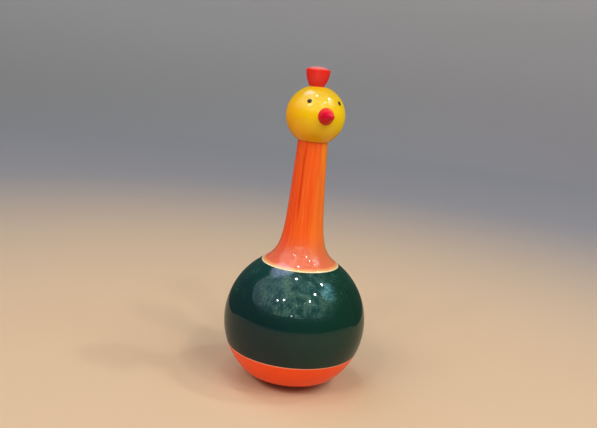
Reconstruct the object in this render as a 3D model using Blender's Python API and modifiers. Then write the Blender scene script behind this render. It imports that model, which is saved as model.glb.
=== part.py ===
# Balancing duck: a turned-wood roly-poly toy with a weighted ball body.
# Metres, +Z up. The duck looks along -Y and stands on the small flat under its ball,
# whose centre is the origin.

import math

import bmesh
import bpy
from mathutils import Matrix, Vector

MM = 0.001

# Clearances between pieces that are glued or screwed together
SEAT_GAP = 0.3 * MM
SOCKET_GAP = 0.25 * MM
EYE_HOLE_GAP = 0.2 * MM

# Ball body: below the dome's edge the bowl is turned flatter than the ball
BALL_RADIUS = 39.25 * MM
BOWL_DOME_EDGE = 27.0 * MM
BOWL_DOME_RADIUS = 55.8 * MM
FOOT_RADIUS = 5.0 * MM
SEAM_DROP = 14.0 * MM
SHELL_WALL = 7.0 * MM
SHELL_ROOF = 16.0 * MM
SPIGOT_LIP = 2.7 * MM
SPIGOT_DEPTH = 4.5 * MM
SEAM_CHAMFER = 0.45 * MM

# Neck
NECK_LENGTH = 66.75 * MM
NECK_TOP_RADIUS = 8.0 * MM
NECK_TAPER = 0.043
NECK_RIM_RADIUS = 21.0 * MM
NECK_RIM_BAND = 0.7 * MM
NECK_RIM_DRAW = 0.7 * MM
NECK_LEDGE = 0.7 * MM
THROAT_FLARE = 2.2 * MM
THROAT_FLARE_LENGTH = 13.0 * MM
LIP_FLARE_LENGTH = 5.4 * MM
FOOT_TENON_RADIUS = 7.0 * MM
FOOT_TENON_LENGTH = 14.0 * MM
HEAD_TENON_RADIUS = 4.5 * MM
HEAD_TENON_LENGTH = 9.0 * MM
TENON_CHAMFER = 0.6 * MM

# Head
HEAD_RADIUS = 15.75 * MM
SOCKET_FLOOR_SPARE = 1.0 * MM

# Comb: it stands upright, a little off the head's own axis, towards the duck's right and back
COMB_BASE_RADIUS = 3.9 * MM
COMB_RIM_RADIUS = 6.4 * MM
COMB_SIDE = 8.7 * MM
COMB_RIM_ROUNDING = 0.4 * MM
COMB_RIM_TURN = math.radians(65.0)
COMB_CROWN_RISE = 1.55 * MM
COMB_CROWN_TIP_RADIUS = 2.8 * MM
COMB_CROWN_TIP_DROP = 0.25 * MM
COMB_TENON_RADIUS = 2.5 * MM
COMB_TENON_LENGTH = 5.5 * MM
COMB_OFFSET = 0.95 * MM
COMB_OFFSET_HEADING = math.radians(-110.8)

# Beak
BEAK_BASE_RADIUS = 4.38 * MM
BEAK_LENGTH = 8.8 * MM
BEAK_TIP_RADIUS = 1.4 * MM
BEAK_RAISE = math.radians(3.0)
BEAK_TENON_RADIUS = 2.2 * MM
BEAK_TENON_LENGTH = 6.0 * MM

# Eyes
EYE_RADIUS = 1.2 * MM
EYE_RAISE = math.radians(29.5)
EYE_SPREAD = math.radians(37.0)
EYE_PEG_LENGTH = 4.0 * MM
EYE_DOME = 0.3 * MM

# Ballast
BOWL_FLOOR_WALL = 6.5 * MM
SLUG_TOP_DROP = 12.0 * MM
SLUG_FLAT_RADIUS = 17.0 * MM
SLUG_CHAMFER = 0.6 * MM
SLUG_COUNTERBORE_RADIUS = 7.0 * MM
SLUG_COUNTERBORE_DEPTH = 6.0 * MM
SCREW_RADIUS = 2.0 * MM
SCREW_LENGTH = 16.0 * MM
SCREW_POINT = 3.0 * MM
SCREW_HEAD_RADIUS = 3.8 * MM
SCREW_HEAD_HEIGHT = 2.4 * MM
SCREW_SLOT_WIDTH = 0.9 * MM
SCREW_SLOT_DEPTH = 1.1 * MM
SCREW_HOLE_GAP = 0.3 * MM
WASHER_RADIUS = 5.6 * MM
WASHER_THICKNESS = 1.0 * MM

# Fineness of the turned surfaces
BALL_STEPS = 64
NECK_STEPS = 48
HEAD_STEPS = 48
SMALL_STEPS = 32
FINE_STEPS = 20
ARC_STEP = math.radians(7.0)
INNER_ARC_STEP = math.radians(12.0)
SMALL_ARC_STEP = math.radians(25.0)
DOME_STEPS = 3
COMB_SIDE_STEPS = 8
LIP_STEPS = 9
LIP_REACH = 3.0
STEM_STEPS = 6
SHARP_ANGLE = math.radians(28.0)
CUT_OVERRUN = 3.0 * MM

# Heights that follow from the sizes above
DOME_EDGE_DROP = math.sqrt(BALL_RADIUS**2 - BOWL_DOME_EDGE**2)
DOME_CENTRE_RISE = math.sqrt(BOWL_DOME_RADIUS**2 - BOWL_DOME_EDGE**2) - DOME_EDGE_DROP
BALL_CENTRE_Z = math.sqrt(BOWL_DOME_RADIUS**2 - FOOT_RADIUS**2) - DOME_CENTRE_RISE
SHELL_TOP_RISE = math.sqrt(BALL_RADIUS**2 - (NECK_RIM_RADIUS + NECK_LEDGE) ** 2)
NECK_FOOT_Z = BALL_CENTRE_Z + SHELL_TOP_RISE + SEAT_GAP
NECK_TOP_Z = NECK_FOOT_Z + NECK_LENGTH
HEAD_FLAT_DROP = math.sqrt(HEAD_RADIUS**2 - NECK_TOP_RADIUS**2)
HEAD_CENTRE_Z = NECK_TOP_Z + SEAT_GAP + HEAD_FLAT_DROP
COMB_SEAT = math.sqrt(HEAD_RADIUS**2 - (COMB_BASE_RADIUS + COMB_OFFSET) ** 2)
BEAK_SEAT = math.sqrt(HEAD_RADIUS**2 - BEAK_BASE_RADIUS**2)
CAVITY_RADIUS = BALL_RADIUS - SHELL_WALL
SEAM_RADIUS = math.sqrt(BALL_RADIUS**2 - SEAM_DROP**2)
MOUTH_RADIUS = SEAM_RADIUS - SPIGOT_LIP
RECESS_RADIUS = BALL_RADIUS - BOWL_FLOOR_WALL
SLUG_DOME_RADIUS = RECESS_RADIUS - SEAT_GAP


def arc(radius, start, end, centre=0.0, widest=ARC_STEP):
    """Points (r, z) on a circle round the axis point at z = centre; angles rise from the horizontal."""
    count = max(1, math.ceil(abs(end - start) / widest))
    angles = [start + (end - start) * step / count for step in range(count + 1)]
    return [(radius * math.cos(a), centre + radius * math.sin(a)) for a in angles]


def rise_angle(radius, rise):
    """Angle above the horizontal at which a circle of this radius reaches this height."""
    return math.asin(rise / radius)


def clear_scene():
    for obj in list(bpy.data.objects):
        bpy.data.objects.remove(obj, do_unlink=True)


def new_collection(name):
    collection = bpy.data.collections.new(name)
    bpy.context.scene.collection.children.link(collection)
    return collection


def finish_of(name, colour, roughness, metallic=0.0):
    """A Principled material with this colour, roughness and metallic value."""
    material = bpy.data.materials.new(name)
    material.use_nodes = True
    shader = material.node_tree.nodes["Principled BSDF"]
    shader.inputs["Base Color"].default_value = (*colour, 1.0)
    shader.inputs["Roughness"].default_value = roughness
    shader.inputs["Metallic"].default_value = metallic
    return material


def turned(name, profile, steps, collection, closed=False):
    """A lathe piece: the profile runs down the outer side and is screwed once round the Z axis."""
    mesh = bpy.data.meshes.new(name)
    points = [(r, 0.0, z) for r, z in profile]
    edges = [(i, i + 1) for i in range(len(points) - 1)]
    if closed:
        edges.append((len(points) - 1, 0))
    mesh.from_pydata(points, edges, [])
    piece = bpy.data.objects.new(name, mesh)
    collection.objects.link(piece)
    screw = piece.modifiers.new("Lathe", "SCREW")
    screw.steps = steps
    screw.render_steps = steps
    screw.use_merge_vertices = True
    screw.merge_threshold = 0.00001
    return piece


def place(piece, location, direction=None):
    """Stands the piece at a point, with its own +Z along the direction."""
    if direction is None:
        turn = Matrix.Identity(4)
    else:
        turn = direction.to_track_quat("Z", "Y").to_matrix().to_4x4()
    piece.matrix_world = Matrix.Translation(location) @ turn


def cut(piece, cutter):
    """Takes the cutter's shape out of the piece."""
    boolean = piece.modifiers.new("Cut " + cutter.name, "BOOLEAN")
    boolean.operation = "DIFFERENCE"
    boolean.solver = "EXACT"
    boolean.object = cutter
    cutter.display_type = "WIRE"
    cutter.hide_render = True


def box(name, size, collection):
    """A box centred on its own origin."""
    mesh = bpy.data.meshes.new(name)
    shape = bmesh.new()
    bmesh.ops.create_cube(shape, size=1.0)
    bmesh.ops.scale(shape, vec=size, verts=shape.verts)
    shape.to_mesh(mesh)
    shape.free()
    piece = bpy.data.objects.new(name, mesh)
    collection.objects.link(piece)
    return piece


def settle(piece, material):
    """Applies the modifiers, gives the finish, and shades smooth except at sharp corners."""
    bpy.context.view_layer.update()
    graph = bpy.context.evaluated_depsgraph_get()
    mesh = bpy.data.meshes.new_from_object(piece.evaluated_get(graph))
    mesh.name = piece.name
    piece.modifiers.clear()
    piece.data = mesh
    mesh.materials.clear()
    mesh.materials.append(material)
    mesh.shade_smooth()
    mesh.set_sharp_from_angle(angle=SHARP_ANGLE)


def heading(azimuth, raised=0.0):
    """Unit vector raised above the level; azimuth 0 is the duck's front and grows to its left."""
    level = math.cos(raised)
    return Vector((level * math.sin(azimuth), -level * math.cos(azimuth), math.sin(raised)))


def tenon(radius, length, top=0.0):
    """Profile of a round tenon that hangs from z = top, with a chamfered end on the axis."""
    end = top - length
    return [(radius, top), (radius, end + TENON_CHAMFER), (radius - TENON_CHAMFER, end), (0.0, end)]


def dome(radius, rise):
    """Profile of a low parabolic dome of this rise, from the axis out to z = 0."""
    rows = [radius * step / DOME_STEPS for step in range(DOME_STEPS + 1)]
    return [(r, rise * (1.0 - (r / radius) ** 2)) for r in rows]


def make_upper_body(collection):
    """Green shell: a ball zone, faced flat on top, bored for the neck and hollowed from below."""
    seam = -SEAM_DROP + SEAT_GAP / 2
    shoulder = -SEAM_DROP + SPIGOT_DEPTH
    roof = SHELL_TOP_RISE - SHELL_ROOF
    bore = FOOT_TENON_RADIUS + SOCKET_GAP
    outer = arc(BALL_RADIUS, rise_angle(BALL_RADIUS, SHELL_TOP_RISE), rise_angle(BALL_RADIUS, seam))
    cavity_start = rise_angle(CAVITY_RADIUS, shoulder)
    cavity = arc(CAVITY_RADIUS, cavity_start, rise_angle(CAVITY_RADIUS, roof), widest=INNER_ARC_STEP)
    profile = outer + [(MOUTH_RADIUS, seam), (MOUTH_RADIUS, shoulder)] + cavity
    profile += [(bore, roof), (bore, SHELL_TOP_RISE)]
    piece = turned("upper_body", profile, BALL_STEPS, collection, closed=True)
    place(piece, Vector((0.0, 0.0, BALL_CENTRE_Z)))
    return piece


def make_lower_bowl(collection):
    """Orange bowl: ball zone and flatter dome with a foot flat; spigot ring on top, recess for the slug."""
    seam = -SEAM_DROP - SEAT_GAP / 2
    spigot_top = -SEAM_DROP + SPIGOT_DEPTH - SEAT_GAP
    spigot_radius = MOUTH_RADIUS - SOCKET_GAP
    recess_rim = -SLUG_TOP_DROP
    recess_edge = math.sqrt(RECESS_RADIUS**2 - recess_rim**2)
    pilot = SCREW_RADIUS + SOCKET_GAP
    screw_tip = slug_counterbore_floor() + WASHER_THICKNESS + SEAT_GAP * 2 - SCREW_LENGTH
    pilot_floor = screw_tip - SEAT_GAP
    flat = SLUG_FLAT_RADIUS + SEAT_GAP
    flat_z = -math.sqrt(RECESS_RADIUS**2 - flat**2)
    arris = rise_angle(BALL_RADIUS, seam - SEAM_CHAMFER)
    side = arc(BALL_RADIUS, arris, -math.acos(BOWL_DOME_EDGE / BALL_RADIUS))
    dome_start = -math.acos(BOWL_DOME_EDGE / BOWL_DOME_RADIUS)
    dome_end = -math.acos(FOOT_RADIUS / BOWL_DOME_RADIUS)
    bottom = arc(BOWL_DOME_RADIUS, dome_start, dome_end, centre=DOME_CENTRE_RISE)
    recess_start = -math.acos(flat / RECESS_RADIUS)
    recess_end = rise_angle(RECESS_RADIUS, recess_rim)
    recess = arc(RECESS_RADIUS, recess_start, recess_end, widest=INNER_ARC_STEP)
    profile = [(0.0, pilot_floor), (pilot, pilot_floor), (pilot, flat_z)]
    profile += recess
    profile += [(recess_edge, spigot_top), (spigot_radius, spigot_top), (spigot_radius, seam)]
    profile += [(math.sqrt(BALL_RADIUS**2 - seam**2) - SEAM_CHAMFER, seam)]
    profile += side + bottom[1:] + [(0.0, bottom[-1][1])]
    piece = turned("lower_bowl", profile, BALL_STEPS, collection)
    place(piece, Vector((0.0, 0.0, BALL_CENTRE_Z)))
    return piece


def slug_counterbore_floor():
    """Height of the slug's counterbore floor from the ball's centre."""
    return -SLUG_TOP_DROP - SLUG_COUNTERBORE_DEPTH


def make_ballast_weight(collection):
    """Iron slug: domed below to fit the recess, flat on top, counterbored and drilled for its screw."""
    top = -SLUG_TOP_DROP
    hole = SCREW_RADIUS + SCREW_HOLE_GAP
    floor = slug_counterbore_floor()
    edge_angle = rise_angle(SLUG_DOME_RADIUS, top - SLUG_CHAMFER)
    flat_angle = -math.acos(SLUG_FLAT_RADIUS / SLUG_DOME_RADIUS)
    underside = arc(SLUG_DOME_RADIUS, edge_angle, flat_angle, widest=INNER_ARC_STEP)
    top_radius = underside[0][0] - SLUG_CHAMFER
    profile = [(top_radius, top)] + underside + [(hole, underside[-1][1]), (hole, floor)]
    profile += [(SLUG_COUNTERBORE_RADIUS, floor), (SLUG_COUNTERBORE_RADIUS, top)]
    piece = turned("ballast_weight", profile, NECK_STEPS, collection, closed=True)
    place(piece, Vector((0.0, 0.0, BALL_CENTRE_Z)))
    return piece


def make_ballast_washer(collection):
    """Flat steel washer on the floor of the slug's counterbore."""
    hole = SCREW_RADIUS + SCREW_HOLE_GAP
    profile = [(WASHER_RADIUS, WASHER_THICKNESS), (WASHER_RADIUS, 0.0), (hole, 0.0)]
    profile += [(hole, WASHER_THICKNESS)]
    piece = turned("ballast_washer", profile, SMALL_STEPS, collection, closed=True)
    place(piece, Vector((0.0, 0.0, BALL_CENTRE_Z + slug_counterbore_floor() + SEAT_GAP)))
    return piece


def make_ballast_screw(collection, cutters):
    """Slotted pan-head wood screw; its origin is under its head."""
    head = arc(SCREW_HEAD_RADIUS, math.pi / 2, 0.0, widest=SMALL_ARC_STEP)
    squash = SCREW_HEAD_HEIGHT / SCREW_HEAD_RADIUS
    profile = [(r, z * squash) for r, z in head]
    profile += [(SCREW_RADIUS, 0.0), (SCREW_RADIUS, SCREW_POINT - SCREW_LENGTH), (0.0, -SCREW_LENGTH)]
    piece = turned("ballast_screw", profile, SMALL_STEPS, collection)
    slot_size = (SCREW_HEAD_RADIUS * 3.0, SCREW_SLOT_WIDTH, SCREW_SLOT_DEPTH * 2.0)
    slot = box("screw_slot_cutter", slot_size, cutters)
    under_head = BALL_CENTRE_Z + slug_counterbore_floor() + WASHER_THICKNESS + SEAT_GAP * 2
    place(piece, Vector((0.0, 0.0, under_head)))
    place(slot, Vector((0.0, 0.0, under_head + SCREW_HEAD_HEIGHT)))
    cut(piece, slot)
    return piece


def neck_radius(height):
    """Outer radius above the rim band: a straight taper plus a long throat flare and a short lip flare."""
    above = height - NECK_RIM_BAND
    run = NECK_LENGTH - NECK_RIM_BAND
    taper = NECK_TOP_RADIUS + NECK_TAPER * (NECK_LENGTH - height)
    lip_radius = NECK_RIM_RADIUS - NECK_RIM_DRAW
    lip_flare = lip_radius - NECK_TOP_RADIUS - NECK_TAPER * run - THROAT_FLARE
    throat = THROAT_FLARE * math.exp(-above / THROAT_FLARE_LENGTH)
    return taper + throat + lip_flare * math.exp(-above / LIP_FLARE_LENGTH)


def make_neck(collection):
    """Orange neck: flared foot with a thin drawn-in rim band, slender stem, and a tenon at each end."""
    lip_top = NECK_RIM_BAND + LIP_FLARE_LENGTH * LIP_REACH
    lip_rise = lip_top - NECK_RIM_BAND
    stem_rise = NECK_LENGTH - lip_top
    heights = [NECK_RIM_BAND + lip_rise * step / LIP_STEPS for step in range(LIP_STEPS)]
    heights += [lip_top + stem_rise * step / STEM_STEPS for step in range(STEM_STEPS + 1)]
    side = [(neck_radius(z), z) for z in reversed(heights)]
    top = NECK_LENGTH + HEAD_TENON_LENGTH
    profile = [(0.0, top), (HEAD_TENON_RADIUS - TENON_CHAMFER, top)]
    profile += [(HEAD_TENON_RADIUS, top - TENON_CHAMFER), (HEAD_TENON_RADIUS, NECK_LENGTH)]
    profile += side + [(NECK_RIM_RADIUS, 0.0)]
    profile += tenon(FOOT_TENON_RADIUS, FOOT_TENON_LENGTH)
    piece = turned("neck", profile, NECK_STEPS, collection)
    place(piece, Vector((0.0, 0.0, NECK_FOOT_Z)))
    return piece


def peg_cutter(name, seat, seat_radius, bore_radius, bore_depth, cutters):
    """Stepped cutter along +Z: clears all beyond the seat plane and bores down from it."""
    outer = HEAD_RADIUS + CUT_OVERRUN
    profile = [(0.0, outer), (seat_radius, outer), (seat_radius, seat), (bore_radius, seat)]
    profile += [(bore_radius, seat - bore_depth), (0.0, seat - bore_depth)]
    return turned(name, profile, SMALL_STEPS, cutters)


def make_head(collection, cutters, centre, comb_foot, beak_way, eye_ways):
    """Yellow ball head: flat and socket for the neck, spot faces and bores for comb, beak and eyes."""
    socket = HEAD_TENON_RADIUS + SOCKET_GAP
    socket_top = HEAD_TENON_LENGTH + SOCKET_FLOOR_SPARE - HEAD_FLAT_DROP
    profile = arc(HEAD_RADIUS, math.pi / 2, -rise_angle(HEAD_RADIUS, HEAD_FLAT_DROP))
    profile += [(socket, -HEAD_FLAT_DROP), (socket, socket_top), (0.0, socket_top)]
    piece = turned("head", profile, HEAD_STEPS, collection)
    place(piece, centre)
    comb_cutter = peg_cutter(
        "comb_seat_cutter",
        COMB_SEAT,
        COMB_BASE_RADIUS + COMB_OFFSET + CUT_OVERRUN,
        COMB_TENON_RADIUS + SOCKET_GAP,
        COMB_TENON_LENGTH + SOCKET_FLOOR_SPARE,
        cutters,
    )
    beak_cutter = peg_cutter(
        "beak_seat_cutter",
        BEAK_SEAT,
        BEAK_BASE_RADIUS + CUT_OVERRUN,
        BEAK_TENON_RADIUS + SOCKET_GAP,
        BEAK_TENON_LENGTH + SOCKET_FLOOR_SPARE,
        cutters,
    )
    place(comb_cutter, centre + comb_foot)
    place(beak_cutter, centre, beak_way)
    cut(piece, comb_cutter)
    cut(piece, beak_cutter)
    for side, way in eye_ways.items():
        hole = EYE_RADIUS + EYE_HOLE_GAP
        floor = HEAD_RADIUS - EYE_PEG_LENGTH - SEAT_GAP
        outer = HEAD_RADIUS + CUT_OVERRUN
        profile = [(0.0, outer), (hole, outer), (hole, floor), (0.0, floor)]
        drill = turned(side + "_eye_cutter", profile, FINE_STEPS, cutters)
        place(drill, centre, way)
        cut(piece, drill)
    return piece


def make_comb(collection, centre, comb_foot):
    """Red comb: convex flaring side, rounded rim, low crown above and a tenon below; origin at its seat."""
    rim_z = COMB_SIDE - COMB_RIM_ROUNDING
    side = []
    for step in range(COMB_SIDE_STEPS - 1, -1, -1):
        along = step / COMB_SIDE_STEPS
        flare = 1.0 - (1.0 - along) ** 2
        side.append((COMB_BASE_RADIUS + (COMB_RIM_RADIUS - COMB_BASE_RADIUS) * flare, rim_z * along))
    rounding = arc(COMB_RIM_ROUNDING, COMB_RIM_TURN, 0.0, rim_z, SMALL_ARC_STEP)
    rim = [(COMB_RIM_RADIUS - COMB_RIM_ROUNDING + r, z) for r, z in rounding]
    crown_top = COMB_SIDE + COMB_CROWN_RISE
    crown = [(0.0, crown_top), (COMB_CROWN_TIP_RADIUS, crown_top - COMB_CROWN_TIP_DROP)]
    profile = crown + rim + side + tenon(COMB_TENON_RADIUS, COMB_TENON_LENGTH)
    piece = turned("comb", profile, SMALL_STEPS, collection)
    place(piece, centre + comb_foot + Vector((0.0, 0.0, COMB_SEAT + SEAT_GAP)))
    return piece


def make_beak(collection, centre, beak_way):
    """Crimson beak: a cone with a rounded tip and a tenon behind; origin at its seat."""
    tip_centre = BEAK_LENGTH - BEAK_TIP_RADIUS
    slope = math.atan2(BEAK_BASE_RADIUS - BEAK_TIP_RADIUS, tip_centre)
    tip = arc(BEAK_TIP_RADIUS, math.pi / 2, slope, tip_centre, SMALL_ARC_STEP)
    profile = tip + [(BEAK_BASE_RADIUS, 0.0)] + tenon(BEAK_TENON_RADIUS, BEAK_TENON_LENGTH)
    piece = turned("beak", profile, SMALL_STEPS, collection)
    place(piece, centre + beak_way * (BEAK_SEAT + SEAT_GAP), beak_way)
    return piece


def make_eye(side, way, collection, centre):
    """Black eye peg with a slightly domed face; origin on the head's surface."""
    profile = dome(EYE_RADIUS, EYE_DOME) + [(EYE_RADIUS, -EYE_PEG_LENGTH), (0.0, -EYE_PEG_LENGTH)]
    piece = turned(side + "_eye", profile, FINE_STEPS, collection)
    place(piece, centre + way * HEAD_RADIUS, way)
    return piece


def build():
    clear_scene()
    duck = new_collection("Balancing duck")
    cutters = new_collection("Cutters")

    green = finish_of("green lac", (0.004, 0.045, 0.028), 0.12)
    orange = finish_of("orange lac", (0.80, 0.09, 0.012), 0.15)
    neck_orange = finish_of("streaked orange lac", (0.83, 0.13, 0.02), 0.18)
    yellow = finish_of("yellow lac", (0.83, 0.46, 0.005), 0.15)
    crimson = finish_of("crimson lac", (0.60, 0.005, 0.03), 0.15)
    red = finish_of("red lac", (0.75, 0.02, 0.01), 0.2)
    black = finish_of("black lac", (0.01, 0.008, 0.008), 0.2)
    iron = finish_of("cast iron", (0.12, 0.12, 0.125), 0.65, 0.8)
    steel = finish_of("plated steel", (0.60, 0.60, 0.58), 0.35, 1.0)

    head_centre = Vector((0.0, 0.0, HEAD_CENTRE_Z))
    comb_foot = heading(COMB_OFFSET_HEADING) * COMB_OFFSET
    beak_way = heading(0.0, BEAK_RAISE)
    eye_ways = {
        "right": heading(-EYE_SPREAD, EYE_RAISE),
        "left": heading(EYE_SPREAD, EYE_RAISE),
    }

    pieces = [
        (make_upper_body(duck), green),
        (make_lower_bowl(duck), orange),
        (make_ballast_weight(duck), iron),
        (make_ballast_washer(duck), steel),
        (make_ballast_screw(duck, cutters), steel),
        (make_neck(duck), neck_orange),
        (make_head(duck, cutters, head_centre, comb_foot, beak_way, eye_ways), yellow),
        (make_comb(duck, head_centre, comb_foot), red),
        (make_beak(duck, head_centre, beak_way), crimson),
    ]
    for side, way in eye_ways.items():
        pieces.append((make_eye(side, way, duck, head_centre), black))
    for piece, material in pieces:
        settle(piece, material)


build()
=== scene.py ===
# %% [markdown]
# # A lacquered balancing duck
# The toy is a stack of turned pieces, coloured as they spin by pressing sticks of lac against the wood,
# and polished with a dry leaf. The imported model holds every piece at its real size, with the iron slug
# that makes the duck stand up again. We keep its box to compare at the end, and give each visible piece a
# fine surface and its finish.

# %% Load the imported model
import math

import bpy
import numpy as np
from mathutils import Matrix, Vector


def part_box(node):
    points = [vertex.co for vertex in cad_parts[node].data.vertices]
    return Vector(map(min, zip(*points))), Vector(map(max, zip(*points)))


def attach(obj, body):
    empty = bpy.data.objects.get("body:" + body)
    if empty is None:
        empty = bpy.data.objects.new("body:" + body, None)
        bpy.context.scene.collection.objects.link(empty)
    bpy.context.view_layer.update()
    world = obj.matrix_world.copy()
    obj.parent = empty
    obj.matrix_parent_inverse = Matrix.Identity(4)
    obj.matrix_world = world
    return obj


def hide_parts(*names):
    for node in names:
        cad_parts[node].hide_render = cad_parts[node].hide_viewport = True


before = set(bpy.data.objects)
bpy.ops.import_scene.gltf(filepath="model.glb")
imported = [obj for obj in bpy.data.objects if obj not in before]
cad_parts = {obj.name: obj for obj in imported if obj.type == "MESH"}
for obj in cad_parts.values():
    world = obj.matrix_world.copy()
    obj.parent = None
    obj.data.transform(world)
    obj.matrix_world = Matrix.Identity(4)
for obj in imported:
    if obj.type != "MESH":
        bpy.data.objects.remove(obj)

scene = bpy.context.scene
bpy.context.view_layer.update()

# %% [markdown]
# ## Sizes
# Everything is turned, so a few radii say almost all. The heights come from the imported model, whose pieces
# keep 0.3 mm between them. The real joints are glued tight, so the piece below each one grows by that gap.

# %% Sizes and heights
MM = 0.001

ball_radius = 39.25 * MM
neck_rim_radius = 21.0 * MM
shell_top_radius = 21.7 * MM
head_radius = 15.75 * MM
neck_top_radius = 8.0 * MM
seat_gap = 0.3 * MM

packed_shell_top_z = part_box("upper_body")[1][2]
head_flat_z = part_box("head")[0][2]
ball_centre_z = packed_shell_top_z - math.sqrt(ball_radius**2 - shell_top_radius**2)
shell_top_z = packed_shell_top_z + seat_gap
head_centre_z = head_flat_z + math.sqrt(head_radius**2 - neck_top_radius**2)
print(f"ball centre {ball_centre_z / MM:.2f} mm, head centre {head_centre_z / MM:.2f} mm above the table")

# %% [markdown]
# ## Outlines
# An outline is the half section of a piece: rows (r, z) that run down its outer side, put together from
# arcs and lines. The corners that an abrasive would ease are rounded last.

# %% Arcs, lines and eased corners
def arc(radius, start, end, centre_z=0.0, step=1.5):
    """Rows (R cos e, centre + R sin e), with e above the level, from start to end in degrees."""
    count = max(2, math.ceil(abs(end - start) / step) + 1)
    rise = np.radians(np.linspace(start, end, count))
    return np.stack([radius * np.cos(rise), centre_z + radius * np.sin(rise)], axis=1)


def line(*rows):
    """The rows (r, z) of a straight-sided outline."""
    return np.array(rows, dtype=float)


def elevation(z, radius):
    """The angle above the level, in degrees, at which a circle of this radius reaches z."""
    return math.degrees(math.asin(z / radius))


def eased(outline, corners, steps=6):
    """Rounds corners (r, z, reach): the rows nearer than reach, along the outline, give way to the parabola
    (1-t)^2 A + 2t(1-t) C + t^2 B."""
    t = np.linspace(0.0, 1.0, steps)[:, None]
    for r, z, reach in corners:
        row = np.argmin(np.hypot(outline[:, 0] - r, outline[:, 1] - z))
        run = np.concatenate([[0.0], np.cumsum(np.hypot(*np.diff(outline, axis=0).T))])
        before, after = run[row] - reach, run[row] + reach
        ends = [[np.interp(s, run, outline[:, k]) for k in (0, 1)] for s in (before, after)]
        a, b = np.array(ends)
        bend = (1 - t) ** 2 * a + 2 * t * (1 - t) * outline[row] + t**2 * b
        outline = np.concatenate([outline[run < before], bend, outline[run > after]])
    return outline


print("a quarter arc of 10 mm has", len(arc(10 * MM, 90, 0)), "rows")

# %% [markdown]
# ## The lathe
# Row i of the outline and column j give the point (r cos a, r sin a, z). A row on the axis is a single
# point, so poles are closed. A Screw modifier would do the same, but here we also need each face's row.

# %% Sweep
def swept(outline, steps, closed=False):
    """Points and faces of an outline turned round Z, and the row that each face starts from."""
    r, z = outline.T
    around = np.arange(steps)
    turn = 2 * np.pi * around / steps
    ring = r > 1e-9
    size = np.where(ring, steps, 1)
    first = np.cumsum(size) - size
    index = first[:, None] + np.where(ring[:, None], around[None, :], 0)
    level = np.outer(z, np.ones(steps))
    grid = np.stack([np.outer(r, np.cos(turn)), np.outer(r, np.sin(turn)), level], axis=2)
    keep = ring[:, None] | (around[None, :] == 0)
    upper = index if closed else index[:-1]
    lower = np.roll(index, -1, axis=0) if closed else index[1:]
    quads = np.stack([upper, lower, np.roll(lower, -1, 1), np.roll(upper, -1, 1)], axis=2).reshape(-1, 4)
    rows = np.repeat(np.arange(len(upper)), steps)
    top_pole = quads[:, 0] == quads[:, 3]
    low_pole = quads[:, 1] == quads[:, 2]
    plain = ~(top_pole | low_pole)
    faces = quads[plain].tolist()
    faces += quads[top_pole][:, :3].tolist()
    faces += quads[low_pole][:, [0, 1, 3]].tolist()
    rows = np.concatenate([rows[plain], rows[top_pole], rows[low_pole]])
    return grid[keep], faces, rows


def stood(points, seat, way):
    """Points with +Z turned along way, then moved to the seat."""
    turn = np.array(Vector(way).to_track_quat("Z", "Y").to_matrix())
    return points @ turn.T + np.array(seat)


print("a cone in 8 steps has", len(swept(line((0, 1), (1, 0), (0, 0)), 8)[1]), "faces")

# %% [markdown]
# ## Turned pieces
# Only what shows is lacquered. Tenons, sockets and the inside of the ball stay raw wood, as a small rule
# on r and z tells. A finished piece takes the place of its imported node.

# %% Turned pieces
crease_angle = math.radians(24)


def placed(name, data):
    """A new object in the scene that holds this mesh, light or camera."""
    thing = bpy.data.objects.new(name, data)
    scene.collection.objects.link(thing)
    return thing


def surface(name, points, faces, *finishes):
    """A new object of these points and faces, with a slot for each finish."""
    mesh = bpy.data.meshes.new(name)
    mesh.from_pydata(points, [], faces)
    for finish in finishes:
        mesh.materials.append(finish)
    return placed(name, mesh)


def turned(name, outline, finish, is_bare, steps, closed=False, seat=(0, 0, 0), way=(0, 0, 1)):
    """A turned piece. is_bare(r, z) tells which of the outline's rows are raw, by their middles."""
    points, faces, rows = swept(outline, steps, closed)
    piece = surface(name, stood(points, seat, way), faces, finish, bare_wood)
    if is_bare is not None:
        middle = (outline + np.roll(outline, -1, axis=0)) / 2
        bare = is_bare(middle[:, 0], middle[:, 1])
        piece.data.polygons.foreach_set("material_index", bare[rows].astype(np.int32))
    piece.data.shade_smooth()
    piece.data.set_sharp_from_angle(angle=crease_angle)
    return piece


def stand_in(piece, node):
    """The piece rides with the toy's body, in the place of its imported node."""
    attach(piece, "root")
    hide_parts(node)
    low, high = (np.array(corner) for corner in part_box(node))
    points = np.array(piece.bound_box)
    reach = np.abs([points.min(0) - low, points.max(0) - high]).max()
    print(f"{piece.name}: {len(piece.data.polygons)} faces, within {reach / MM:.2f} mm of its packed box")


# %% [markdown]
# ## Networks of nodes
# A finish is a small network of nodes that ends in a Principled shader. This class has one short method
# for each step, so that each finish reads from top to bottom.

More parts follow.
